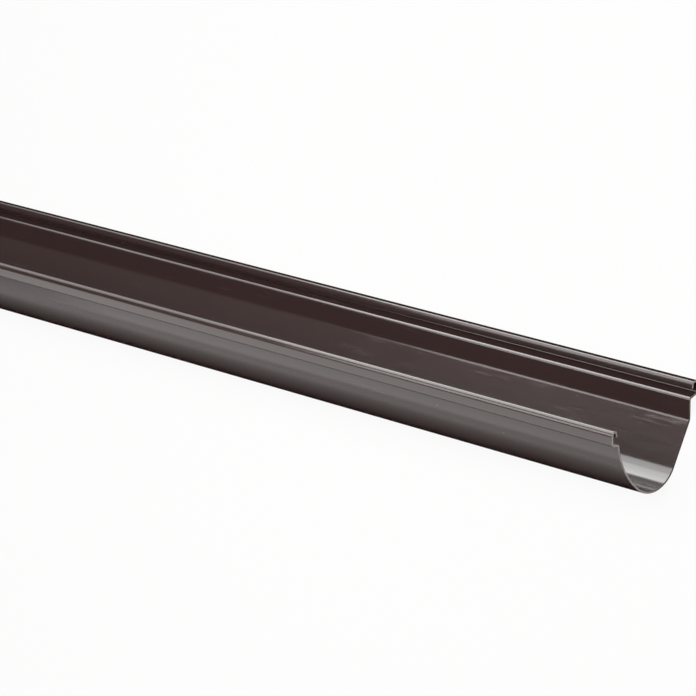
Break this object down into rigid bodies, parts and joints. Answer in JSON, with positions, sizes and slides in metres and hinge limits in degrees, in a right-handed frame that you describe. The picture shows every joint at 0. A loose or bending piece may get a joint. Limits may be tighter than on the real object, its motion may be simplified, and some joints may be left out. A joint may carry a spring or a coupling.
{
  "type": "rain gutter section",
  "caption": "Straight length of brown plastic rain gutter: deep round-bottomed trough with a stepped front band, curled front lip and a ledge and curl along the back.",
  "frame": {"origin": "middle of the length and of the rolled section's depth, at floor level under the back slope", "axes": "X along the length. The gutter lies on its back slope: its mouth opens toward +Y and 27 degrees up. Turned +63 degrees about X it hangs upright, with the wall on its +Y side."},
  "size_m": [3, 0.1353, 0.1144],
  "materials": {
    "gutter": "satin"
  },
  "bodies": {
    "root": {"gutter": "gutter"}
  },
  "joints": []
}
